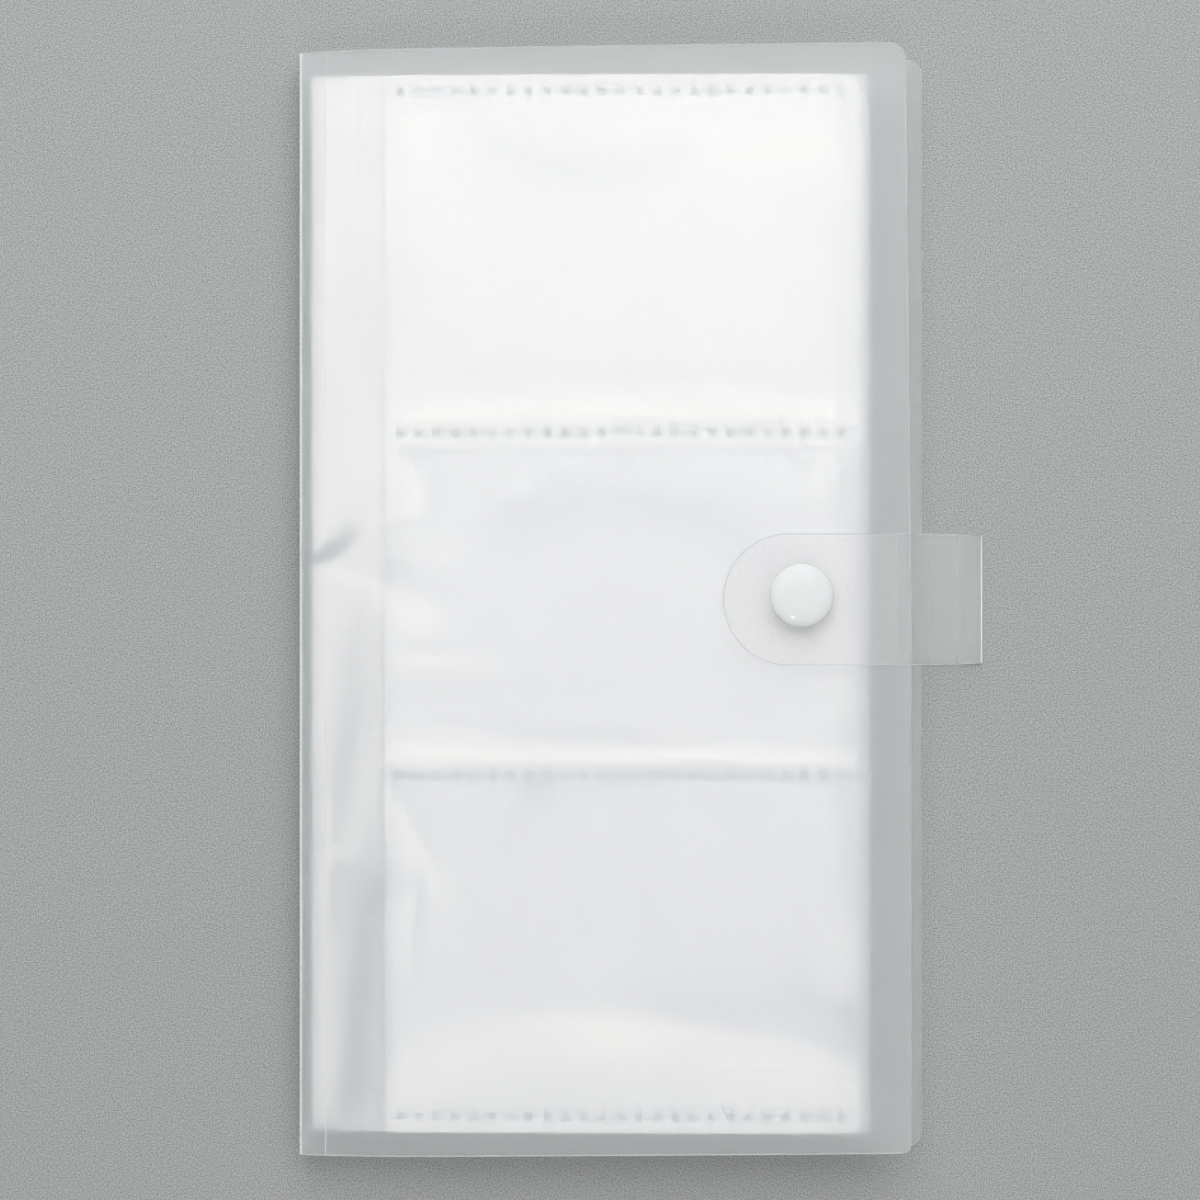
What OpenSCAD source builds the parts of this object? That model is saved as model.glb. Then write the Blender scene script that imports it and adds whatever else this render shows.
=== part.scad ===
// Closed card file lying on its back: a folded sheet case, a strap with a snap, and ten pocket leaves.
// X runs from the spine to the fore edge, Y up the spine, Z out of the back panel.
// The origin is the centre of the back panel's underside.

/* [Leaves] */
// Height of a pocket along the spine, from weld to weld
pocket_h = 63.3; // [58:0.1:68]
// Depth of a pocket, from its open side to the leaf's fore edge
pocket_w = 90; // [84:0.5:98]
// Number of pockets in a column
pockets = 3; // [2:1:4]
// Margin between the binding strip and the pockets
margin_w = 13.6; // [12:0.2:18]
// Distance from the leaf's upper and lower ends to the outermost weld
weld_end = 3; // [2:0.1:6]
// Width of a welded row
weld_w = 1.2; // [0.8:0.1:2]
// Width of the weld along the fore edge
edge_weld = 1.6; // [1:0.1:3]
// Thickness of a leaf's middle sheet
leaf_t = 0.12; // [0.1:0.01:0.14]
// Thickness of a pocket film
film_t = 0.08; // [0.06:0.01:0.1]
// Room inside an empty pocket
pocket_gap = 0.24; // [0.2:0.01:0.26]
// Distance between neighbouring leaves at the binding strip
root_pitch = 0.7; // [0.66:0.01:0.74]
// Distance between neighbouring leaves at the pockets' open side
mouth_pitch = 0.96; // [0.92:0.01:1]
// Distance between neighbouring leaves at the fore edge
edge_pitch = 1.11; // [1.05:0.01:1.14]
// Height of the lowest leaf above the table, over its pockets
first_leaf = 1.2; // [1.1:0.05:1.25]
// Height of the lowest leaf above the table, at the binding strip
first_root = 1; // [0.95:0.05:1.1]
// Thickness of the bead along a leaf's root, on which the leaf turns
bead_t = 0.16; // [0.14:0.01:0.18]
// Thickness of the binding strip that holds the leaves
binding_t = 1.65; // [1.4:0.05:2]

/* [Case sheet] */
// Thickness of the case sheet
sheet_t = 0.5; // [0.4:0.05:0.6]
// Distance from the leaves to the upper and lower edges of the case
head_margin = 4.55; // [2:0.05:8]
// Distance from the leaves to the fore edge of the back panel
fore_margin = 10.6; // [8:0.1:16]
// Distance by which the front panel's fore edge lies behind the back panel's
front_inset = 3.3; // [2:0.1:5]
// Radius of the outer corners of the panels
corner_r = 3; // [1:0.5:6]
// Height of the spine above the uppermost leaf's weld
spine_rise = 0.8; // [0.8:0.05:1.3]
// Width of the strip between the spine and the front panel
strip_w = 4.8; // [4:0.2:6]
// Slope of that strip in the closed case, in degrees
strip_slope = 17; // [15:0.5:19]
// Angle by which the front panel lies out of square, in degrees
front_skew = 0.55; // [0:0.05:0.7]
// Depth of a scored line
score_d = 0.12; // [0.05:0.01:0.2]

/* [Bow of the front panel] */
// Slope of the front panel where it leaves its fold, in degrees
bow_start = 11; // [10:0.5:13]
// Width over which most of that slope is lost
bow_w = 20; // [15:1:25]
// Slope that is left there, in degrees
bow_mid = 2; // [1.6:0.1:2.6]

/* [Strap] */
// Width of the strap
strap_w = 24; // [18:1:30]
// Distance of the strap's centre line above the middle of the case
strap_y = 0.8; // [-3:0.1:3]
// Length of the root, from the back panel's fore edge to the first fold
root_l = 11.25; // [10.5:0.05:12.5]
// Distance from the back panel's fore edge to the spare fold line in the root
spare_fold = 1.5; // [1:0.1:3]
// Distance from the middle of the front panel's fore edge down to the riser's upper fold
riser_drop = 0.75; // [0.4:0.05:0.9]
// Slope of the riser in the closed case, in degrees from the table
riser_slope = 64.5; // [62:0.5:68]
// Length of the bridge, which crosses the fore edge
bridge_l = 11.3; // [10:0.1:12]
// Slope of the bridge in the closed case, in degrees
bridge_slope = 11; // [10:0.5:13]
// Length of the tongue, from the last fold to its round end
tongue_l = 32.4; // [30:0.2:38]
// Slope of the tongue in the closed case, in degrees
tongue_slope = 3.2; // [2.8:0.1:4.5]

/* [Snap] */
// Distance from the tongue's fold to the snap
snap_at = 18; // [16:0.5:19]
// Distance of the snap above the strap's centre line
snap_y = 0.7; // [-2:0.1:2]
// Diameter of the cap
cap_d = 11.6; // [10:0.2:13]
// Height of the cap above the strap
cap_h = 1.9; // [1.6:0.1:2.4]
// Diameter of the socket and of the stud's flange
snap_d = 8.4; // [7.5:0.1:9]
// Height of the socket under the strap
socket_h = 1.2; // [1.1:0.05:1.3]
// Thickness of the socket's web, which the cap's pin goes through
socket_web = 0.35; // [0.25:0.05:0.45]
// Thickness of the cap at its rim
cap_rim = 0.6; // [0.4:0.1:1]
// Thickness of the stud's flange
flange_t = 0.35; // [0.3:0.05:0.4]
// Diameter of the stud
stud_d = 3.4; // [3:0.1:3.8]
// Height of the stud above its flange
stud_h = 1; // [0.7:0.1:1.1]
// Diameter of the pins that hold the snap's halves
pin_d = 2; // [1.6:0.1:2.2]
// Diameter of the post's head inside the cover
post_d = 9; // [8:0.2:10]
// Thickness of the post's head
post_t = 0.4; // [0.3:0.05:0.5]

/* [Hidden] */
fold_gap = 0.02;        // clearance inside a living hinge
seat_gap = 0.05;        // clearance between pieces that lie on each other
weld_gap = 0.01;        // clearance between a weld and the films that it joins
stud_gap = 0.25;        // radial clearance between stud and socket
bead_gap = 0.02;        // clearance between the binding strip and a leaf's bead
head_gap = 0.5;         // distance by which the binding strip passes the leaves at each end
half_t = sheet_t / 2;
mid_leaf = leaf_t / 2;
leaves = 10;
curve_steps = 28;       // facets along the bowed panel
dome_steps = 14;        // facets from the cap's centre to its rim
leaf_steps = 8;         // facets along a leaf's bent margin

// Outer sizes that follow from what the case holds.
leaf_h = pockets * pocket_h + 2 * weld_end;
case_h = leaf_h + 2 * head_margin;
case_w = sheet_t + seat_gap + binding_t + bead_gap + bead_t / 2 + margin_w + pocket_w + fore_margin;
spine_h = first_root + (leaves - 1) * root_pitch + spine_rise;

// Fold axes, as [x, z]: the two along the spine, then the front panel's, then the strap's.
spine_axis = [-case_w / 2 + half_t, half_t];
cover_axis = [spine_axis.x, spine_h - half_t];
score_axis = cover_axis + strip_w * [cos(strip_slope), sin(strip_slope)];
front_w = case_w / 2 - front_inset - score_axis.x;
strap_axis = [case_w / 2 + root_l, half_t];
riser_h = score_axis.y + bow_path()[curve_steps][0].y - riser_drop - half_t;
riser_l = riser_h / sin(riser_slope);
bridge_axis = strap_axis + riser_l * [-cos(riser_slope), sin(riser_slope)];
tongue_axis = bridge_axis + bridge_l * [-cos(bridge_slope), sin(bridge_slope)];
snap_x = tongue_axis.x - snap_at * cos(tongue_slope);

// Inner face of the spine, the axis of each leaf, and both ends of the pockets.
spine_face = spine_axis.x + half_t;
leaf_axis_x = spine_face + seat_gap + binding_t + bead_gap + bead_t / 2;
mouth_x = leaf_axis_x + margin_w;
edge_x = mouth_x + pocket_w;
film_at = mid_leaf + pocket_gap + film_t / 2;

$fn = 96;

// ---- Curves -------------------------------------------------------------------------------------

// Slope of the front panel at distance x from its fold.
function bow_slope(x) =
    x < bow_w ? bow_start + (bow_mid - bow_start) * x / bow_w
              : bow_mid * (front_w - x) / (front_w - bow_w);

// Points along the front panel's middle surface, each with its slope, stepped off from the fold.
function bow_path(step = front_w / curve_steps) = [
    for (i = 0, p = [0, 0]; i <= curve_steps;
         p = p + step * [1, tan(bow_slope((i + 0.5) * step))], i = i + 1)
        [p, bow_slope(i * step)]
];

function normal(a) = [-sin(a), cos(a)];
function ease(u) = u * u * (3 - 2 * u);
function mix(a, b, u) = a + (b - a) * u;

// A band of the given thickness that follows a path of [point, slope] pairs.
function band(path, thickness) = concat(
    [for (q = path) q[0] + thickness / 2 * normal(q[1])],
    [for (i = [len(path) - 1:-1:0]) path[i][0] - thickness / 2 * normal(path[i][1])]
);

// Heights of leaf k at its root, at the open side of its pockets and at its fore edge.
function root_z(k) = first_root + (k - 1) * root_pitch;
function mouth_z(k) = first_leaf + (k - 1) * mouth_pitch;
function edge_z(k) = first_leaf + (k - 1) * edge_pitch;
function leaf_slope(k) = atan2(edge_z(k) - mouth_z(k), pocket_w);

// Middle line of leaf k's margin: it leaves the strip level and eases up to the pockets' plane.
function margin_path(k) = [
    for (i = [0:leaf_steps])
        let (u = i / leaf_steps, rise = mouth_z(k) - root_z(k))
        [[leaf_axis_x + u * margin_w, root_z(k) + rise * ease(u) + lean(k, u)], margin_slope(k, u)]
];
function lean(k, u) = margin_w * tan(leaf_slope(k)) * (u * u * u - u * u);
function margin_slope(k, u) =
    atan(((mouth_z(k) - root_z(k)) * 6 * u * (1 - u)) / margin_w + tan(leaf_slope(k)) * (3 * u * u - 2 * u));

// ---- Placing ------------------------------------------------------------------------------------

// Extrudes an X-Z profile along Y, about y = 0.
module along_y(length) {
    rotate([90, 0, 0]) linear_extrude(length, center = true) children();
}

// Stands what is drawn along +X on a fold axis, turned up by an angle.
module at_fold(axis, angle) {
    translate([axis.x, 0, axis.y]) rotate([0, -angle, 0]) children();
}

// Profile of a panel between two folds. Its start is hollowed for the round end of the panel before it,
// which comes in from the direction back_angle, and its own end is round.
module panel_profile(length, back_angle, round_end = true) {
    difference() {
        union() {
            translate([0, -half_t]) square([length, sheet_t]);
            if (round_end) translate([length, 0]) circle(half_t);
        }
        circle(half_t + fold_gap);
        rotate(back_angle) translate([0, -half_t - fold_gap])
            square([3 * sheet_t, sheet_t + 2 * fold_gap]);
    }
}

// A scored line across a panel that lies along +X, cut into its upper face.
module score_line(x, length) {
    translate([x, 0, half_t]) along_y(length)
        polygon([[-score_d, score_d / 4], [score_d, score_d / 4], [0, -score_d]]);
}

// ---- Case sheet ---------------------------------------------------------------------------------

// A panel's outline from x = 0, with its two outer corners rounded.
module panel_outline(width, height, r) {
    translate([0, -height / 2]) square([width - r, height]);
    translate([0, -height / 2 + r]) square([width, height - 2 * r]);
    for (side = [-1, 1]) translate([width - r, side * (height / 2 - r)]) circle(r);
}

module back_cover() {
    fore_x = case_w / 2;
    color([0.80, 0.83, 0.84, 0.6]) difference() {
        union() {
            linear_extrude(sheet_t) {
                translate([spine_axis.x, 0]) panel_outline(fore_x - spine_axis.x, case_h, corner_r);
                translate([fore_x - corner_r, strap_y - strap_w / 2])
                    square([strap_axis.x - fore_x + corner_r, strap_w]);
            }
            translate([spine_axis.x, 0, half_t]) rotate([90, 0, 0])
                cylinder(h = case_h, r = half_t, center = true);
            translate([strap_axis.x, strap_y, half_t]) rotate([90, 0, 0])
                cylinder(h = strap_w, r = half_t, center = true);
        }
        translate([0, strap_y, half_t]) score_line(fore_x + spare_fold, strap_w + 2 * score_d);
    }
}

module spine() {
    color([0.80, 0.83, 0.84, 0.6]) at_fold(spine_axis, 90)
        along_y(case_h) panel_profile(cover_axis.y - spine_axis.y, -90);
}

module hinge_strip() {
    color([0.80, 0.83, 0.84, 0.6]) intersection() {
        at_fold(cover_axis, strip_slope) along_y(case_h + 2 * corner_r)
            panel_profile(strip_w, -90 - strip_slope);
        translate([cover_axis.x, 0]) linear_extrude(3 * spine_h) skewed_outline();
    }
}

// Plan of everything that hangs on the cover's fold, turned out of square but cut straight at the fold.
module skewed_outline() {
    reach = score_axis.x - cover_axis.x + front_w;
    margin = 2 * corner_r;
    intersection() {
        rotate(front_skew) translate([-margin, 0]) panel_outline(reach + margin, case_h, corner_r);
        translate([-sheet_t, -case_h]) square([2 * case_w, 2 * case_h]);
    }
}

module front_cover() {
    fold = bow_path();
    color([0.80, 0.83, 0.84, 0.6]) difference() {
        intersection() {
            translate([score_axis.x, 0, score_axis.y]) along_y(case_h + 2 * corner_r) difference() {
                polygon(band(fold, sheet_t));
                circle(half_t + fold_gap);
            }
            translate([cover_axis.x, 0]) linear_extrude(3 * spine_h) skewed_outline();
        }
        stud_place() cylinder(h = 4 * sheet_t, d = pin_d + 2 * seat_gap, center = true);
    }
}

// ---- Strap --------------------------------------------------------------------------------------

module strap_panel(axis, slope, length, back_angle) {
    color([0.82, 0.85, 0.86, 0.6]) translate([0, strap_y, 0]) at_fold(axis, 180 - slope)
        along_y(strap_w) panel_profile(length, back_angle);
}

module strap_riser() {
    strap_panel(strap_axis, riser_slope, riser_l, riser_slope);
}

module strap_bridge() {
    difference() {
        strap_panel(bridge_axis, bridge_slope, bridge_l, 180 - riser_slope + bridge_slope);
        translate([0, strap_y, 0]) at_fold(bridge_axis, 180 - bridge_slope) rotate([180, 0, 0])
            score_line(bridge_l / 2, strap_w + 2 * score_d);
    }
}

module strap_tongue() {
    tip_r = strap_w / 2;
    color([0.82, 0.85, 0.86, 0.6]) translate([0, strap_y, 0]) at_fold(tongue_axis, 180 - tongue_slope)
        difference() {
            intersection() {
                along_y(strap_w)
                    panel_profile(tongue_l, 180 - bridge_slope + tongue_slope, round_end = false);
                translate([0, 0, -sheet_t]) linear_extrude(2 * sheet_t) {
                    translate([0, -tip_r]) square([tongue_l - tip_r, strap_w]);
                    translate([tongue_l - tip_r, 0]) circle(tip_r);
                }
            }
            translate([snap_at, snap_y, 0])
                cylinder(h = 4 * sheet_t, d = pin_d + 2 * seat_gap, center = true);
        }
}

// ---- Snap ---------------------------------------------------------------------------------------

// On the tongue's axis at the snap, with +Z out of the strap's outer face.
module cap_place() {
    translate([0, strap_y, 0]) at_fold(tongue_axis, 180 - tongue_slope)
        translate([snap_at, snap_y, 0]) rotate([180, 0, 0]) children();
}

// On the front panel under the snap, with +Z out of the panel's outer face.
function step_at(path, x, i = 0) = path[i + 1][0].x >= x ? i : step_at(path, x, i + 1);
module stud_place() {
    path = bow_path();
    stud_step = step_at(path, snap_x - score_axis.x);
    a = path[stud_step][0];
    b = path[stud_step + 1][0];
    u = (snap_x - score_axis.x - a.x) / (b.x - a.x);
    at = score_axis + mix(a, b, u);
    translate([at.x, strap_y + snap_y, at.y]) rotate([0, -atan2(b.y - a.y, b.x - a.x), 0]) children();
}

// The cap's crown is nearly flat in the middle and turns down quickly at the shoulder.
function dome_at(share) = [cap_d / 2 * share, cap_rim + (cap_h - cap_rim) * sqrt(1 - pow(share, 3))];

module snap_cap() {
    crown = [for (i = [0:dome_steps]) dome_at(sin(90 * i / dome_steps))];
    color([0.95, 0.96, 0.96]) cap_place() {
        translate([0, 0, half_t + seat_gap]) rotate_extrude()
            polygon(concat([[0, 0]], crown, [[cap_d / 2, 0]]));
        translate([0, 0, -half_t - seat_gap - socket_web])
            cylinder(h = socket_web + sheet_t + 2 * seat_gap + cap_rim / 2, d = pin_d);
    }
}

module snap_socket() {
    color([0.93, 0.95, 0.95]) cap_place() translate([0, 0, -half_t - seat_gap - socket_h]) difference() {
        cylinder(h = socket_h, d = snap_d);
        translate([0, 0, -socket_h]) cylinder(h = 2 * socket_h - socket_web, d = stud_d + 2 * stud_gap);
        cylinder(h = 2 * socket_h, d = pin_d + 2 * seat_gap);
    }
}

module snap_stud() {
    color([0.93, 0.95, 0.95]) stud_place() translate([0, 0, half_t + seat_gap]) difference() {
        union() {
            cylinder(h = flange_t, d = snap_d);
            cylinder(h = flange_t + stud_h, d = stud_d);
        }
        translate([0, 0, -stud_h]) cylinder(h = 2 * flange_t + 3 * stud_h, d = pin_d + 2 * seat_gap);
    }
}

module snap_post() {
    color([0.93, 0.95, 0.95]) stud_place() {
        translate([0, 0, -half_t - seat_gap - post_t]) cylinder(h = post_t, d = post_d);
        translate([0, 0, -half_t - seat_gap - post_t / 2])
            cylinder(h = post_t / 2 + sheet_t + 2 * seat_gap + flange_t + stud_h * 0.8, d = pin_d);
    }
}

// ---- Leaves -------------------------------------------------------------------------------------

module binding_strip() {
    low = sheet_t + seat_gap;
    high = root_z(leaves) + root_pitch / 3;
    length = leaf_h + 2 * head_gap;
    color([0.90, 0.91, 0.91]) translate([spine_face + seat_gap, -length / 2, low])
        cube([binding_t, length, high - low]);
}

// Stands on leaf k's pocket plane at the open side, with +X towards the fore edge.
module on_leaf(k) {
    translate([mouth_x, 0, mouth_z(k)]) rotate([0, -leaf_slope(k), 0]) children();
}

// The middle sheet of leaf k, with the round bead that it turns on.
module leaf_sheet(k) {
    path = concat(margin_path(k), [[[edge_x, edge_z(k)], leaf_slope(k)]]);
    color([0.96, 0.97, 0.97]) {
        along_y(leaf_h) polygon(band(path, leaf_t));
        translate([leaf_axis_x, 0, root_z(k)]) rotate([90, 0, 0])
            cylinder(h = leaf_h, d = bead_t, center = true);
    }
}

// The seams that close the pockets on both sides of leaf k: the rows, and one along the fore edge.
module leaf_welds(k) {
    length = pocket_w / cos(leaf_slope(k));
    seam_t = pocket_gap - 2 * weld_gap;
    color([0.96, 0.97, 0.97]) on_leaf(k)
        for (side = [-1, 1]) translate([0, 0, side * (mid_leaf + pocket_gap / 2)]) {
            for (row = [0:pockets])
                translate([(length - edge_weld) / 2, -leaf_h / 2 + weld_end + row * pocket_h])
                    cube([length - edge_weld - 2 * weld_w, weld_w, seam_t], center = true);
            translate([length - edge_weld / 2, 0]) cube([edge_weld, leaf_h, seam_t], center = true);
        }
}

// side is 1 for the film on the front of leaf k and -1 for the one on its back.
module leaf_film(k, side) {
    length = pocket_w / cos(leaf_slope(k));
    color([0.96, 0.97, 0.97, 0.6]) on_leaf(k)
        translate([length / 2, 0, side * film_at]) cube([length, leaf_h, film_t], center = true);
}

// ---- Nodes --------------------------------------------------------------------------------------

back_cover();
spine();
hinge_strip();
front_cover();
binding_strip();
strap_riser();
strap_bridge();
strap_tongue();
snap_cap();
snap_socket();
snap_stud();
snap_post();
for (k = [1:leaves]) {
    name = str("leaf_", k < 10 ? "0" : "", k);
    leaf_sheet(k);
    leaf_welds(k);
    leaf_film(k, 1);
    leaf_film(k, -1);
}
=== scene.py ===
# %% [markdown]
# # A card file with a snap strap
#
# The object is a flat case of frosted polypropylene sheet that lies on its back. The sheet is cut
# and scored in one piece: back panel, spine, hinge strip, front panel, and a strap that folds round
# the fore edge and snaps shut. Ten leaves of soft film pockets are welded to a strip in the spine.
#
# The measured parts come from the imported model, and this lesson gives them their finish: the
# camera first, then the light, then each plastic, and last the film, whose creases are listed one
# by one.

import bpy
import numpy as np
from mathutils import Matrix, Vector


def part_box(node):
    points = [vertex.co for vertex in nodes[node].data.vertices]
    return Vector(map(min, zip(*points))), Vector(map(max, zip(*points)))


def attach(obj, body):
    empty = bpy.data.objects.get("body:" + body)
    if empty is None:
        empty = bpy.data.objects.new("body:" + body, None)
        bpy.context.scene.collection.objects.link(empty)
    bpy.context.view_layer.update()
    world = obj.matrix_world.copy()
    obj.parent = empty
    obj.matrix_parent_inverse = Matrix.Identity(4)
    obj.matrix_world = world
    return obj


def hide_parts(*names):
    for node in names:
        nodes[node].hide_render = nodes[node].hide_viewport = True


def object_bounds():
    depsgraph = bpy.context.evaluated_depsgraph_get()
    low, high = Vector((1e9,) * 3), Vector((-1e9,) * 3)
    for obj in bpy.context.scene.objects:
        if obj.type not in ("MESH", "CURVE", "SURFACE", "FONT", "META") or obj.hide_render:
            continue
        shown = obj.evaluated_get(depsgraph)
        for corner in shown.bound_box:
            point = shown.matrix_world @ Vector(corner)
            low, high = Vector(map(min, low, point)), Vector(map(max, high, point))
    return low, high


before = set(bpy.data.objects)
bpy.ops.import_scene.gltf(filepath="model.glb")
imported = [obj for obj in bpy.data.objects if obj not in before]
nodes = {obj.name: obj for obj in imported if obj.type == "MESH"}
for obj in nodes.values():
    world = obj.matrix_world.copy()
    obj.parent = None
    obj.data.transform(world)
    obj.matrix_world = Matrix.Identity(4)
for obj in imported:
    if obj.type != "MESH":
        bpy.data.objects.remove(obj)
MM = 0.001
cad_low, cad_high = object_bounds()
leaves = sum(name.endswith("_sheet") for name in nodes)
cad_size = [round((high - low) / MM, 1) for low, high in zip(cad_low, cad_high)]
print(len(nodes), "parts,", leaves, "leaves,", cad_size, "mm")

# %% [markdown]
# ## Camera
#
# The case is seen from straight above, as in a catalogue. A long lens keeps the raised cover from
# looking much larger than the back panel. The camera stands a little left of the case's middle, so
# that the spine and the strap's end are about as far from the frame's edges.

# %% Camera
view_height = 600 * MM
view_width = 226.5 * MM
view_centre = (-2.35 * MM, 0.7 * MM)

camera_data = bpy.data.cameras.new("camera")
camera_data.sensor_width = 36
camera_data.lens = camera_data.sensor_width * view_height / view_width
camera_data.clip_start = 0.01
camera = bpy.data.objects.new("camera", camera_data)
camera.location = (*view_centre, view_height)
bpy.context.scene.collection.objects.link(camera)
bpy.context.scene.camera = camera
bpy.context.scene.view_settings.view_transform = "Standard"
print("lens", round(camera_data.lens, 1), "mm")

# %% [markdown]
# ## Light
#
# Frosted sheet shows best in broad, soft light. A large panel stands beyond the upper end of the
# case, so the light fades slowly towards the lower end, and a bright room round it fills the
# shadows. A small lamp on the near side puts the one sharp glint on the snap's dome.
#
# Light that reaches a leaf has passed the cover twice, and it has met many films on the way. So a
# ray may turn far more often than usual before it is given up, or the white films turn grey.

# %% Light
world = bpy.data.worlds.new("room")
world.use_nodes = True
world.node_tree.nodes["Background"].inputs["Color"].default_value = (1, 1, 1, 1)
world.node_tree.nodes["Background"].inputs["Strength"].default_value = 0.51
bpy.context.scene.world = world

light_paths = bpy.context.scene.cycles
light_paths.max_bounces = 32
light_paths.transmission_bounces = 32
light_paths.glossy_bounces = 32
light_paths.diffuse_bounces = 16
light_paths.transparent_max_bounces = 16


def add_lamp(name, place, width, watts):
    """A square lamp that faces the middle of the case."""
    data = bpy.data.lights.new(name, "AREA")
    data.size = width
    data.energy = watts
    lamp = bpy.data.objects.new(name, data)
    lamp.location = place
    lamp.rotation_euler = (-Vector(place)).to_track_quat("-Z", "Y").to_euler()
    bpy.context.scene.collection.objects.link(lamp)
    print(name, data.size, "m wide,", watts, "W")


add_lamp("soft_panel", (0.02, 0.38, 0.6), 0.62, 3.25)
add_lamp("glint_lamp", (0.022, -0.283, 0.655), 0.02, 0.3)

# %% [markdown]
# ## Materials
#
# Two helpers serve every material. One turns a hex colour, as a colour picker shows it, to the
# linear values that shaders work in. The other adds a node with its settings and its links.

# %% Helpers for materials


def linear(code):
    """An sRGB hex colour as linear RGBA."""
    parts = [int(code[i : i + 2], 16) / 255 for i in (0, 2, 4)]
    return tuple(p / 12.92 if p <= 0.04045 else ((p + 0.055) / 1.055) ** 2.4 for p in parts) + (1,)


def add_node(material, kind, settings=None, links=None):
    """Adds a node. Settings are properties or input sockets, and links name an output for a socket."""
    tree = material.node_tree
    node = tree.nodes.new("ShaderNode" + kind)
    for name, value in (settings or {}).items():
        if name in node.inputs:
            node.inputs[name].default_value = value
        else:
            setattr(node, name, value)
    for name, output in (links or {}).items():
        tree.links.new(output, node.inputs[name])
    return node


def new_material(name):
    """An empty node material."""
    material = bpy.data.materials.new(name)
    material.use_nodes = True
    material.node_tree.nodes.clear()
    return material


def mixed(material, first, second, share=None):
    """Two shaders mixed, half and half or by the output share."""
    mix = add_node(material, "MixShader", links={"Fac": share} if share else None)
    material.node_tree.links.new(first, mix.inputs[1])
    material.node_tree.links.new(second, mix.inputs[2])
    return mix.outputs["Shader"]


def finish_material(material, settings, links):
    """Closes a material with one Principled shader."""
    shader = add_node(material, "BsdfPrincipled", settings, links)
    add_node(material, "OutputMaterial", links={"Surface": shader.outputs["BSDF"]})
    print("material", material.name)
    return material


# %% [markdown]
# The case is extruded polypropylene sheet, and its rolls are matt, which prints a fine grain on
# both faces. Light goes through it, but each face turns it a little, so what touches the sheet
# shows sharply and what lies a few millimetres behind is a blur. A rough, clear shader on a solid
# sheet gives exactly that. A small share that scatters at the surface makes it milky.

# %% Frosted polypropylene sheet
GRAIN = 0.3 * MM


def frosted_sheet(name, milk, tint, roughness, opacity=1.0):
    """Matt extruded sheet: the share milk of the light meets its grain, and the rest goes through."""
    material = new_material(name)
    place = add_node(material, "TexCoord")
    grain = add_node(
        material, "TexNoise", {"Scale": 1 / GRAIN, "Detail": 1.0}, {"Vector": place.outputs["Object"]}
    )
    bump = add_node(
        material, "Bump", {"Strength": 0.1, "Distance": 0.02 * MM}, {"Height": grain.outputs["Fac"]}
    )
    share = add_node(
        material,
        "MapRange",
        {"From Min": 0.3, "From Max": 0.7, "To Min": 0.8 * milk, "To Max": 1.2 * milk},
        {"Value": grain.outputs["Fac"]},
    )
    clear = add_node(
        material,
        "BsdfPrincipled",
        {
            "Base Color": linear("FFFFFF"),
            "Roughness": roughness,
            "IOR": 1.49,
            "Transmission Weight": 1.0,
            "Alpha": opacity,
        },
        {"Normal": bump.outputs["Normal"]},
    )
    sent_back = add_node(material, "BsdfDiffuse", {"Color": linear(tint)})
    let_through = add_node(material, "BsdfTranslucent", {"Color": linear("FFFFFF")})
    milky = mixed(material, sent_back.outputs["BSDF"], let_through.outputs["BSDF"])
    sheet = mixed(material, clear.outputs["BSDF"], milky, share.outputs["Result"])
    add_node(material, "OutputMaterial", links={"Surface": sheet})
    print("material", name)
    return material


# The panels are one sheet, but each is given its own share of milk, a painted lightness: the bent
# spine most, then the back, and the cover less. The strap lies over other sheets, and a second
# rough sheet would darken what is under it, so it is nearly all see-through.
case_sheet = frosted_sheet("frosted_polypropylene", 0.165, "E8F1F5", 0.72)
back_sheet = frosted_sheet("back_polypropylene", 0.3, "EFF1F2", 0.72)
spine_sheet = frosted_sheet("bent_polypropylene", 0.53, "EBF2F5", 0.75)
strap_sheet = frosted_sheet("strap_polypropylene", 0.09, "F9F5F2", 0.4, 0.02)
bridge_sheet = frosted_sheet("strap_bridge_polypropylene", 0.025, "E2E4E5", 0.4, 0.02)

# %% [markdown]
# The pockets are cast polypropylene film, thin and glossy. One film is nearly clear, but the pack
# has thirty with air between them, and every face sends back a little light, so together they look
# white. Tracing thirty clear films is slow and noisy, so each film here sends back most of the
# light itself and lets the rest through.
#
# A film that is pressed to the cover looks whiter than one that hangs free, and here that is
# painted: the relief made below stores how near each point comes, as an attribute, and the colour
# follows it, a painted highlight where the film comes near the cover and painted shade where it
# hangs free or lies in a crease.

# %% Pocket film
RIPPLE = 9 * MM


def shade_painted_film(name, low, middle, high, opacity, roughness=0.28):
    """Soft film whose colour is painted: the low colour as shade, the high one as highlight, by a stored
    attribute.
    """
    material = new_material(name)
    near = add_node(material, "Attribute", {"attribute_name": "painted_nearness_shade"})
    colour = add_node(material, "ValToRGB", links={"Fac": near.outputs["Fac"]})
    # The low colour is painted shade and the high one a painted highlight.
    colour.color_ramp.elements[0].color = linear(low)
    colour.color_ramp.elements[1].color = linear(high)
    colour.color_ramp.elements.new(0.5).color = linear(middle)
    return finish_material(
        material,
        {"Roughness": roughness, "IOR": 1.49, "Alpha": opacity},
        {"Base Color": colour.outputs["Color"]},
    )


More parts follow.
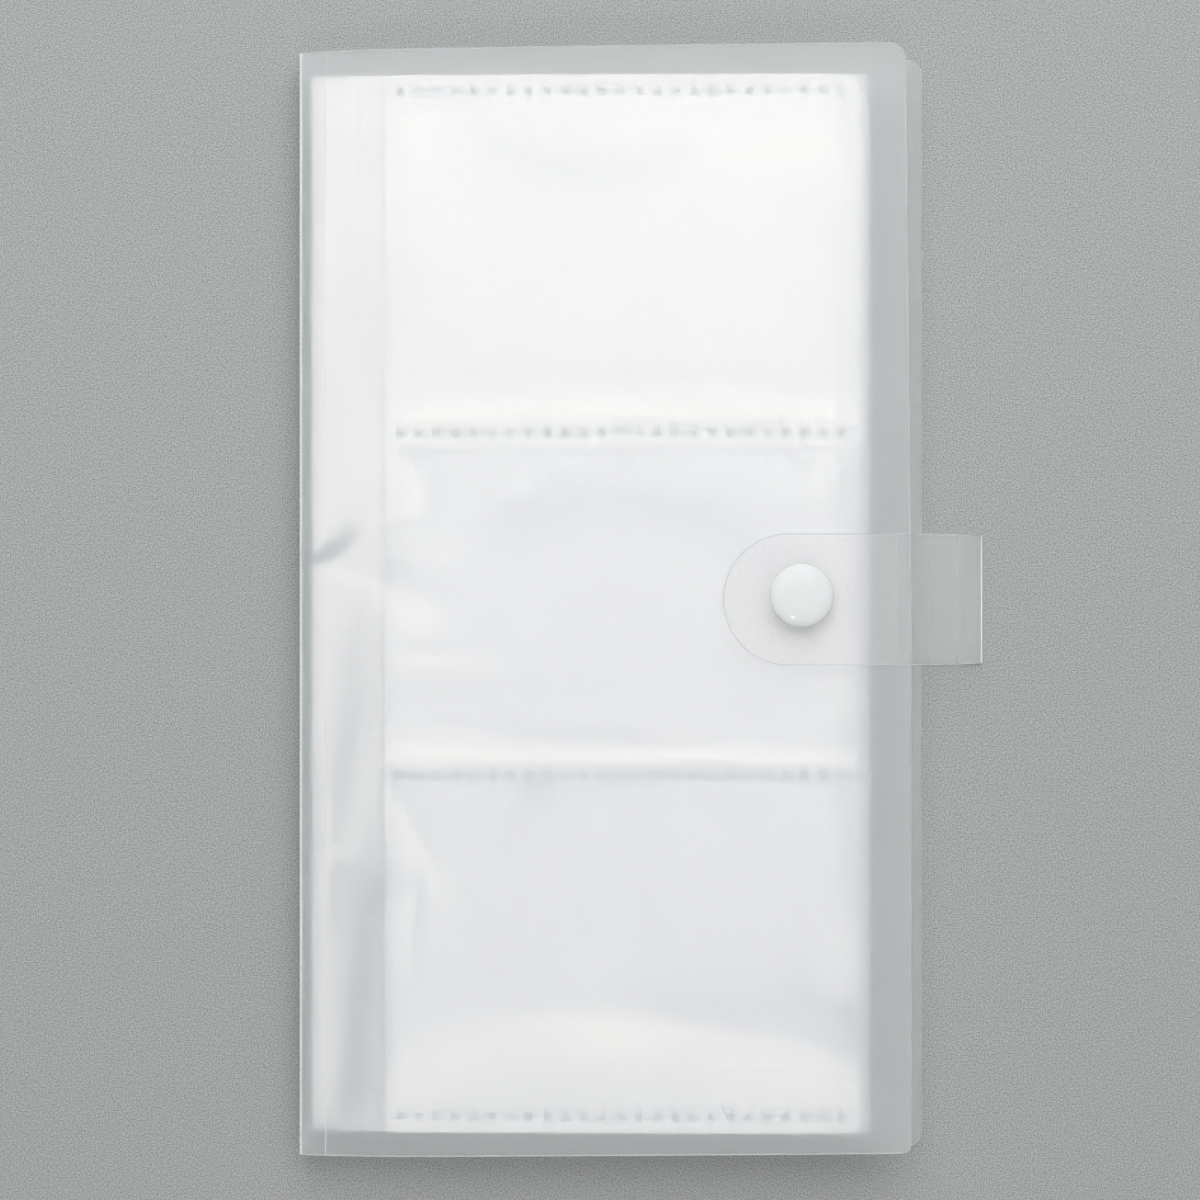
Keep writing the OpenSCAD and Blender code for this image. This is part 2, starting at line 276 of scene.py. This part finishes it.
def plain_film(name, colour, opacity, roughness=0.28):
    """Soft film of one colour, with the faint ripple that it keeps from the roll."""
    material = new_material(name)
    place = add_node(material, "TexCoord")
    ripple = add_node(
        material, "TexNoise", {"Scale": 1 / RIPPLE, "Detail": 2.0}, {"Vector": place.outputs["Object"]}
    )
    bump = add_node(
        material, "Bump", {"Strength": 0.35, "Distance": 0.5 * MM}, {"Height": ripple.outputs["Fac"]}
    )
    return finish_material(
        material,
        {"Base Color": linear(colour), "Roughness": roughness, "IOR": 1.49, "Alpha": opacity},
        {"Normal": bump.outputs["Normal"]},
    )


# Both films under the cover take painted colours: low for painted shade, high for painted highlight.
top_film = shade_painted_film("cast_film_painted_shade", "C2C3CA", "F4F2F2", "FFFBF8", 0.95)
top_margin = shade_painted_film("leaf_sheet_painted_shade", "BFC1C6", "EAE8E8", "FFFBF8", 0.95)
inner_film = plain_film("cast_polypropylene_film", "FDFEFE", 0.9)
leaf_plastic = plain_film("leaf_polypropylene_sheet", "FDFEFE", 0.9)
weld_plastic = plain_film("welded_film", "C8CCCF", 1.0)

# %% [markdown]
# The snap is moulded acetal, white with a trace of blue, and its polished mould leaves it glossy.

# %% Moulded acetal
FLOW = 3 * MM
snap_plastic = new_material("moulded_acetal")
snap_place = add_node(snap_plastic, "TexCoord")
flow = add_node(
    snap_plastic, "TexNoise", {"Scale": 1 / FLOW, "Detail": 2.0}, {"Vector": snap_place.outputs["Object"]}
)
flow_gloss = add_node(
    snap_plastic, "MapRange", {"To Min": 0.1, "To Max": 0.16}, {"Value": flow.outputs["Fac"]}
)
finish_material(
    snap_plastic,
    {"Base Color": linear("E4E6E7"), "IOR": 1.48, "Specular IOR Level": 0.2},
    {"Roughness": flow_gloss.outputs["Result"]},
)

# %% Give each measured part its plastic


def plastic_of(name):
    """The material of a measured part, by its name."""
    if name.startswith("snap"):
        return snap_plastic
    if name in ("strap_riser", "strap_bridge"):
        return bridge_sheet
    if name == "strap_tongue":
        return strap_sheet
    if name == "spine":
        return spine_sheet
    if name == "back_cover":
        return back_sheet
    if name.endswith("_film"):
        return inner_film
    if name.endswith(("_sheet", "_welds")):
        return leaf_plastic
    return case_sheet


for name, part in nodes.items():
    part.data.materials.clear()
    part.data.materials.append(plastic_of(name))
print("plastics given to", len(nodes), "parts")

# %% [markdown]
# ## The top leaf
#
# The top leaf is what shows through the cover. Its pockets are empty, so the film buckles: a roll
# of slack film lies above each weld row and touches the cover, the open side is pulled into lobes,
# and two pinches run in from the spine. A cloth simulation would buckle such a film too, but each
# run ends in creases of its own, and these ones are known. So the film is a fine grid whose points
# are lifted by a relief, and then given its thickness.
#
# The relief is a list of creases. Each has a height, its width above and below its line, and the
# few points of the line. A height of 1 fills the room under the cover. The same relief also sets
# the colour: rolls are painted lighter, a painted highlight, and valleys darker, painted shade.

# %% Room under the cover
leaf = f"leaf_{leaves:02d}"
film_low, film_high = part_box(f"{leaf}_front_film")
sheet_low, sheet_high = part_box(f"{leaf}_sheet")
film_t = 0.08 * MM
sheet_t = 0.12 * MM
seam_x = film_high.x / MM - 4.2


def profile(names, pick):
    """Heights along x of some parts, picked at each x where they have points: two arrays."""
    points = np.array([v.co[:] for name in names for v in nodes[name].data.vertices])
    stations = np.unique(np.round(points[:, 0], 4))
    return stations, np.array([pick(points[np.abs(points[:, 0] - x) < 0.3 * MM][:, 2]) for x in stations])


cover_under = profile(["hinge_strip", "front_cover"], np.min)
film_level = profile([f"{leaf}_front_film"], np.mean)
sheet_level = profile([f"{leaf}_sheet"], np.mean)
room = np.interp(film_high.x, *cover_under) - film_high.z
print("room above the film at the fore edge", round(room / MM, 2), "mm")

# %% Grids and creases


def grid_piece(name, low, high, step, thickness, height, material):
    """A sheet of square cells, lifted by height(x, y), thickened, with its painted shade stored."""
    size = (high[0] - low[0], high[1] - low[1])
    middle = ((low[0] + high[0]) / 2, (low[1] + high[1]) / 2, 0)
    bpy.ops.object.select_all(action="DESELECT")
    bpy.ops.mesh.primitive_grid_add(
        x_subdivisions=round(size[0] / step), y_subdivisions=round(size[1] / step), size=1, location=middle
    )
    piece = bpy.context.object
    piece.name = name
    piece.scale = (size[0], size[1], 1)
    bpy.ops.object.transform_apply(location=True, rotation=True, scale=True)
    count = len(piece.data.vertices)
    points = np.empty(count * 3)
    piece.data.vertices.foreach_get("co", points)
    points = points.reshape(count, 3)
    points[:, 2], painted_nearness_shade = height(points[:, 0], points[:, 1])
    piece.data.vertices.foreach_set("co", points.ravel())
    # The second value of height is painted shade, kept as an attribute for the colour.
    stored = piece.data.attributes.new("painted_nearness_shade", "FLOAT", "POINT")
    stored.data.foreach_set("value", painted_nearness_shade)
    solid = piece.modifiers.new("thickness", "SOLIDIFY")
    solid.thickness = thickness
    solid.offset = 0
    bpy.ops.object.modifier_apply(modifier=solid.name)
    bpy.ops.object.shade_smooth_by_angle()
    piece.data.materials.append(material)
    print(name, len(piece.data.polygons), "faces")
    return piece


def distance(x, y, line):
    """Distance from each point to a line of corners, and which points lie left of its direction."""
    best = np.full(x.shape, 1e9)
    left = np.zeros(x.shape, bool)
    for (x0, y0), (x1, y1) in zip(line, line[1:] or line):
        along = (x - x0) * (x1 - x0) + (y - y0) * (y1 - y0)
        share = np.clip(along / max((x1 - x0) ** 2 + (y1 - y0) ** 2, 1e-9), 0, 1)
        away = np.hypot(x - x0 - share * (x1 - x0), y - y0 - share * (y1 - y0))
        side = (x1 - x0) * (y - y0) - (y1 - y0) * (x - x0) > 0
        left = np.where(away < best, side, left)
        best = np.minimum(away, best)
    return best, left


def relief(x, y, base, creases):
    """The base lift plus every crease, held between the sheet below and the cover above."""
    lift = base.copy()
    for height, width_left, width_right, line in creases:
        away, left = distance(x, y, line)
        width = np.where(left, width_left, width_right)
        lift += height * np.exp(-((away / width) ** 2))
    return np.clip(lift, 0, 1)


def ramp(value, start, end):
    """A smooth step from 0 at start to 1 at end."""
    share = np.clip((value - start) / (end - start), 0, 1)
    return share * share * (3 - 2 * share)


# %% [markdown]
# Each crease below is (height, width on its left, width on its right, corners), in millimetres,
# and left means left of the way from the first corner to the last. A negative height is a valley,
# which is also painted darker as painted shade; a positive one is a roll, painted lighter as a
# painted highlight.

# %% Relief of the top pocket
ROWS = (-94.95, -31.65, 31.65, 94.95)
TOP_POCKET = [
    (0.1, 6, 6, [(-40, 88), (-32, 88)]),
    (-0.2, 3.5, 1.6, [(-33.5, 92.8), (-27, 90), (-24.4, 87.2)]),
    (-0.26, 5, 3.5, [(-20.8, 83.4), (-10.1, 79.5), (3.6, 77.2), (11.4, 79.5)]),
    (0.2, 2.4, 3.4, [(7.5, 75.2), (17.2, 81), (28.9, 84), (40.6, 85)]),
    (0.15, 3, 2, [(-39, 73), (-33, 69), (-34, 65)]),
    (-0.2, 5, 5, [(-42, 60), (-42, 52)]),
    (0.4, 2.6, 1.2, [(-41.3, 33.4), (-29.6, 34.4), (-14, 34.9), (5.5, 35.2), (25, 35), (42.6, 34)]),
    (-0.15, 2.5, 1.6, [(-36, 41), (-14, 42), (25, 42), (40, 40)]),
]
print(len(TOP_POCKET), "creases")

# %% Relief of the middle pocket
MIDDLE_POCKET = [
    (0.25, 0.9, 0.9, [(-40, 30), (42, 30)]),
    (-0.1, 0.6, 0.8, [(-40, 28.3), (42, 28.3)]),
    (0.4, 0.7, 3.5, [(-42, 29), (-38.8, 26), (-35.3, 20.5), (-35.9, 17.4), (-39, 16.6)]),
    (-0.05, 2.5, 1.6, [(-41, 29), (-37.6, 26), (-34, 20.5), (-34.6, 16.4), (-39, 14.6)]),
    (0.1, 4, 4, [(-36, 10), (-33, 10)]),
    (0.4, 1.2, 4.5, [(-42.3, 1.2), (-38, 0.4), (-34.3, -1.6), (-33, -4.1), (-36, -5.2)]),
    (-0.12, 3, 2.5, [(-42.3, 6.2), (-38, 5.6)]),
    (0.3, 1.1, 1.4, [(-42, -10.4), (-33, -10.9), (-23.5, -11.7)]),
    (-0.08, 2.5, 5, [(-19.9, 16.7), (-0.3, 20.6), (19.2, 16.7), (27, 10.8)]),
    (0.2, 2.5, 0.8, [(43, 30), (38.7, 26.4), (36.7, 20.6)]),
    (-0.06, 1.6, 1.6, [(41.6, 20), (41.6, 15)]),
    (0.15, 1.8, 1.8, [(42, 12), (42, -20)]),
    (0.6, 1.8, 1.0, [(-41, -28.4), (-20, -28.8), (0, -29.1), (25, -29.1), (42.6, -29.6)]),
    (0.2, 3.5, 2.5, [(-41, -26), (-25, -27.5)]),
    (-0.05, 1.5, 1.0, [(-42, -20.8), (-25, -23), (-10, -24.8), (5, -25.8)]),
]
print(len(MIDDLE_POCKET), "creases")

# %% Relief of the bottom pocket
BOTTOM_POCKET = [
    (-0.12, 0.8, 1.2, [(-40, -32.3), (-27, -32.5), (-5, -32.5)]),
    (-0.12, 0.8, 1.0, [(-5, -32.4), (42, -32.3)]),
    (0.3, 0.6, 4, [(-43, -33), (-41.2, -35.1), (-38.2, -40.7), (-35.1, -46.2)]),
    (-0.08, 2.2, 1.2, [(-40, -34.5), (-37, -40), (-34, -46)]),
    (-0.15, 1.2, 1.6, [(-41.5, -51.6), (-38.7, -51.6), (-35.6, -49.8), (-34.9, -47)]),
    (0.15, 1.6, 1.6, [(-34.6, -47.5), (-32.7, -52), (-31.5, -56.5)]),
    (-0.12, 1.4, 1.0, [(-35.3, -51), (-36, -57), (-36.8, -64)]),
    (0.1, 2.5, 2.5, [(-39, -56), (-40, -66)]),
    (-0.1, 3, 3, [(-16, -36.4), (-12, -36.2)]),
    (0.3, 2, 8, [(-42.9, -91.6), (-37.4, -84.7), (-29.6, -80.8), (-19.9, -78.9), (-0.3, -78.1)]),
    (0.3, 2, 8, [(-0.3, -78.1), (15.3, -79.9), (28.9, -82.8), (44.5, -87.7)]),
    (-0.08, 6, 3, [(10, -75.5), (30, -77), (44, -80.5)]),
    (-0.1, 3.2, 1.8, [(32.8, -71), (44.5, -76.9)]),
    (0.12, 2, 2, [(42.5, -61), (42.5, -71)]),
]
print(len(BOTTOM_POCKET), "creases")

# %% Relief of the margin by the spine
MARGIN = [
    (0.6, 1.2, 1.5, [(-54.2, 95), (-54.2, -95)]),
    (-1.1, 2.2, 0.4, [(-55.8, 7.3), (-53.4, 8.2)]),
    (-0.5, 3.0, 0.4, [(-53.4, 8.2), (-51.3, 9.5), (-48.4, 11.6)]),
    (0.35, 0.6, 2.5, [(-55.2, 6.4), (-51, 6.1), (-47.4, 5.3), (-43.7, 3.2), (-42.2, 1.6)]),
    (0.25, 0.8, 0.8, [(-54.2, -3.2), (-49.3, -3)]),
    (-0.12, 2.5, 2.5, [(-48, -8), (-48.6, -20), (-50, -30), (-50.8, -37)]),
    (-0.8, 0.7, 0.5, [(-55.7, -44.8), (-54, -44.9)]),
    (0.4, 0.6, 1.2, [(-52.6, -45.6), (-50, -46.9)]),
    (0.15, 2.5, 2.5, [(-45.5, -30), (-48, -45)]),
    (0.12, 5, 5, [(-47, 30), (-47, 16)]),
    (-0.2, 2.5, 2.5, [(-44.8, -53), (-45.5, -62), (-47, -75), (-48.5, -92)]),
    (0.15, 1.2, 1.2, [(-51, -62), (-52, -90)]),
]
SEAM = (-0.15, 0.5, 0.9, [(seam_x, 95), (seam_x, -95)])
print(len(MARGIN), "creases")


# %% Heights of the film and of its leaf
def leaf_bow(x):
    """How far the whole top leaf bows up to the cover, between its margin and its fore edge."""
    room = np.interp(x, *cover_under) - np.interp(x, *film_level)
    return 0.5 * room * ramp(x / MM, -43, -34) * ramp(film_high.x / MM - x / MM, 0, 9)


def film_height(x, y):
    """Height and painted shade of the top film: welded flat along the rows and the fore edge."""
    x_mm, y_mm = x / MM, y / MM
    to_row = np.min([np.abs(y_mm - row) for row in ROWS], axis=0)
    mouth = 0.3 + 0.7 * ramp(x_mm - film_low.x / MM, 0, 2.5)
    free = ramp(to_row, 0.85, 2.0) * ramp(seam_x - x_mm, 0, 2.5) * mouth
    # The base lift is greater towards the upper end, so the film rises more there and is painted lighter:
    # a painted fall of light from top to bottom.
    base = np.interp(y_mm, [-97, -90, -34, -29, 29, 34, 97], [0.5, 0.46, 0.46, 0.46, 0.48, 0.7, 0.78])
    lift = relief(x_mm, y_mm, base, [SEAM] + TOP_POCKET + MIDDLE_POCKET + BOTTOM_POCKET)
    level = np.interp(x, *film_level) + leaf_bow(x)
    room = np.interp(x, *cover_under) - level - film_t
    # This factor paints the film darker towards the fore edge and along its open side, painted shade that
    # changes the colour only.
    painted_edge_shade = 1 - 0.9 * ramp(x_mm, seam_x + 0.5, film_high.x / MM)
    open_side_shade = np.interp(y_mm, [-95, -50, 0, 95], [0.45, 0.35, 0.15, 0.08])
    painted_edge_shade *= 1 - open_side_shade * (1 - ramp(x_mm - film_low.x / MM, 0, 3))
    return level + free * lift * room, lift * painted_edge_shade


def sheet_height(x, y):
    """Height and painted shade of the top leaf's own sheet, which shows in the margin by the spine."""
    x_mm, y_mm = x / MM, y / MM
    free = ramp(x_mm - sheet_low.x / MM, 0.5, 2.2) * ramp(film_low.x / MM - x_mm, -0.5, 1.5)
    # The base is greater towards the upper end, so the margin lifts more there and is painted lighter, and
    # darker towards the lower end: painted shade.
    base = np.interp(y_mm, [-98, -50, 0, 40, 98], [0.35, 0.35, 0.6, 0.72, 0.82])
    lift = relief(x_mm, y_mm, base, MARGIN)
    level = np.interp(x, *sheet_level) + leaf_bow(x)
    room = np.interp(x, *cover_under) - level - sheet_t
    return level + free * lift * room * 0.85, lift


# %% Make the film and the leaf
film = grid_piece("top_film", film_low, film_high, 0.8 * MM, film_t, film_height, top_film)
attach(film, leaf)
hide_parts(f"{leaf}_front_film")

edge = (sheet_low.x + 0.08 * MM, sheet_low.y)
sheet = grid_piece("top_sheet", edge, sheet_high, 0.9 * MM, sheet_t, sheet_height, top_margin)
# A thin bead along the leaf's cut edge by the spine is joined to the sheet. It has no stored value, so it
# takes the low colour: a painted dark line of shade along the edge.
bead_d = 0.16 * MM
bpy.ops.object.select_all(action="DESELECT")
bpy.ops.mesh.primitive_cylinder_add(
    vertices=12,
    radius=bead_d / 2,
    depth=sheet_high.y - sheet_low.y,
    location=(edge[0], 0, sheet_level[1][0]),
    rotation=(np.pi / 2, 0, 0),
)
bead = bpy.context.object
bpy.ops.object.transform_apply(location=True, rotation=True, scale=True)
bead.data.materials.append(top_margin)
bpy.ops.object.select_all(action="DESELECT")
bead.select_set(True)
sheet.select_set(True)
bpy.context.view_layer.objects.active = sheet
bpy.ops.object.join()
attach(sheet, leaf)
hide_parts(f"{leaf}_sheet")

# %% [markdown]
# The welds are made by a heated bar with a row of small dots, which press the two films together
# through the sheet. A dot is modelled once, as a flat disc that stands a little out of the film,
# and copied along the four rows of both films of every leaf, so that the rows show when the case
# is open as well.

# %% Weld dots
DOT_D = 1.7 * MM
DOT_PITCH = 3.4 * MM
first = film_low.x + 3 * MM
dots_per_row = int((seam_x * MM - first) / DOT_PITCH) + 1
bpy.ops.object.select_all(action="DESELECT")
bpy.ops.mesh.primitive_cylinder_add(vertices=12, radius=DOT_D / 2, depth=0.14 * MM, location=(0, 0, 0))
dot = bpy.context.object
dot.data.materials.append(weld_plastic)
shape = [v.co.copy() for v in dot.data.vertices]


def dots_on(leaf_name):
    """The dots of both films of a leaf, as one piece that rides with it."""
    copies = []
    for side, film_name in ((1, f"{leaf_name}_front_film"), (-1, f"{leaf_name}_back_film")):
        level = profile([film_name], np.mean)
        for row in ROWS:
            for k in range(dots_per_row):
                x = first + k * DOT_PITCH
                z = np.interp(x, *level) + side * 0.35 * film_t
                if film_name == f"{leaf}_front_film":
                    z += leaf_bow(x) + 0.65 * film_t
                copy = bpy.data.objects.new("dot", dot.data.copy())
                for vertex, co in zip(copy.data.vertices, shape):
                    vertex.co = co + Vector((x, row * MM, z))
                bpy.context.scene.collection.objects.link(copy)
                copies.append(copy)
    bpy.ops.object.select_all(action="DESELECT")
    for copy in copies:
        copy.select_set(True)
    bpy.context.view_layer.objects.active = copies[0]
    bpy.ops.object.join()
    dots = bpy.context.object
    dots.name = f"{leaf_name}_dots"
    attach(dots, leaf_name)
    print(dots.name, len(copies), "dots")


for number in range(1, leaves + 1):
    dots_on(f"leaf_{number:02d}")
bpy.data.objects.remove(dot)

# %% [markdown]
# ## Cut edges
#
# The die that cuts the sheet leaves a fine raised burr along every edge, and the burr turns light
# about, so each edge shows as a thin line: pale over the grey card, grey over the white films. It
# is a thin tube along the upper rim of each panel. A copy of the panel is merged, all but its rim
# is deleted, and the rim becomes a curve with a round section. A real burr is thinner than a hair,
# so this one is drawn coarser than that, or it wouldn't show.

# %% Cut edges
BURR_D = 0.17 * MM
# The burr is drawn as geometry, and its one grey colour is painted light and shade: the line it draws,
# pale over the card and grey over the films, stands in for light turned at the cut edge.
cut_edge_painted_line = plain_film("cut_edge_painted_light", "C7CBCF", 1.0, 0.35)


def is_rim(ups):
    """Whether an edge lies between an upper face and a side wall, from its faces' normals."""
    return len(ups) > 1 and max(ups) > 0.35 and min(abs(up) for up in ups) < 0.2




def burr_on(name, body):
    """A fine tube along the upper rim of a sheet part, from a merged copy of the part."""
    burr = nodes[name].copy()
    burr.data = nodes[name].data.copy()
    burr.name = name + "_edge"
    bpy.context.scene.collection.objects.link(burr)
    bpy.ops.object.select_all(action="DESELECT")
    burr.select_set(True)
    bpy.context.view_layer.objects.active = burr
    bpy.ops.object.mode_set(mode="EDIT")
    bpy.ops.mesh.select_mode(type="EDGE")
    bpy.ops.mesh.select_all(action="SELECT")
    bpy.ops.mesh.remove_doubles(threshold=0.001 * MM)
    bpy.ops.mesh.select_all(action="DESELECT")
    bpy.ops.object.mode_set(mode="OBJECT")
    walls = {}
    for face in burr.data.polygons:
        for key in face.edge_keys:
            walls.setdefault(key, []).append(face.normal.z)
    rim = [edge for edge in burr.data.edges if is_rim(walls[edge.key])]
    for edge in rim:
        edge.select = True
    count = len(rim)
    bpy.ops.object.mode_set(mode="EDIT")
    bpy.ops.mesh.select_all(action="INVERT")
    bpy.ops.mesh.delete(type="EDGE")
    bpy.ops.mesh.select_all(action="SELECT")
    bpy.ops.mesh.delete_loose(use_verts=True, use_edges=False, use_faces=False)
    bpy.ops.object.mode_set(mode="OBJECT")
    bpy.ops.object.convert(target="CURVE")
    burr.data.bevel_depth = BURR_D / 2
    burr.data.bevel_resolution = 1
    burr.data.use_fill_caps = True
    bpy.ops.object.convert(target="MESH")
    bpy.ops.object.shade_smooth_by_angle()
    burr.data.materials.clear()
    burr.data.materials.append(cut_edge_painted_line)
    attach(burr, body)
    print(burr.name, count, "rim edges,", len(burr.data.polygons), "faces")


SHEET_PARTS = {
    "back_cover": "back_panel",
    "spine": "spine_panel",
    "hinge_strip": "hinge_strip",
    "front_cover": "front_panel",
    "strap_riser": "strap_riser",
    "strap_bridge": "strap_bridge",
    "strap_tongue": "strap_tongue",
}
for name, body in SHEET_PARTS.items():
    burr_on(name, body)

# %% [markdown]
# Where the sheet is folded sharply, at the spine and at the strap's end, the outer edge of the bend
# catches the light. Each such fold gets a fine round bead along it, whose pale colour is a painted
# highlight.

# %% Fold beads
BEAD_D = 0.3 * MM
fold_highlight = plain_film("fold_painted_highlight", "EDF1F3", 1.0, 0.35)


def fold_bead(name, body, part, x, z):
    """A round bead along a fold, as long as the part it belongs to."""
    low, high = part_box(part)
    bpy.ops.object.select_all(action="DESELECT")
    bpy.ops.mesh.primitive_cylinder_add(
        vertices=12,
        radius=BEAD_D / 2,
        depth=high.y - low.y,
        location=(x, (low.y + high.y) / 2, z),
        rotation=(np.pi / 2, 0, 0),
    )
    bead = bpy.context.object
    bead.name = name
    bpy.ops.object.transform_apply(location=True, rotation=True, scale=True)
    bpy.ops.object.shade_smooth_by_angle()
    bead.data.materials.append(fold_highlight)
    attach(bead, body)
    print(name, "along", part)


spine_low, spine_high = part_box("spine")
riser_low, riser_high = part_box("strap_riser")
fold_bead("spine_bead", "spine_panel", "spine", spine_low.x + 0.12 * MM, spine_high.z - 0.2 * MM)
fold_bead("strap_bead", "strap_riser", "strap_riser", riser_high.x - 0.1 * MM, riser_low.z + 0.2 * MM)

# %% [markdown]
# ## Floor
#
# The case lies on grey card. Card is pressed from fibres of several greys, so it shows a fine
# mottle, here a noise with the width of a fibre bundle, and it has no gloss.

# %% Floor
paper = new_material("grey_card")
paper_place = add_node(paper, "TexCoord")
FIBRE = 0.24 * MM
fibre = add_node(
    paper, "TexNoise", {"Scale": 1 / FIBRE, "Detail": 2.0}, {"Vector": paper_place.outputs["Object"]}
)
fibre_tone = add_node(paper, "ValToRGB", links={"Fac": fibre.outputs["Fac"]})
fibre_tone.color_ramp.elements[0].position = 0.3
fibre_tone.color_ramp.elements[0].color = linear("7B7E7D")
fibre_tone.color_ramp.elements[1].position = 0.75
fibre_tone.color_ramp.elements[1].color = linear("CBCECB")
finish_material(paper, {"Roughness": 0.9}, {"Base Color": fibre_tone.outputs["Color"]})

bpy.ops.object.select_all(action="DESELECT")
bpy.ops.mesh.primitive_plane_add(size=6, location=(0, 0, -0.1 * MM))
floor = bpy.context.object
floor.name = "floor"
floor.data.materials.append(paper)
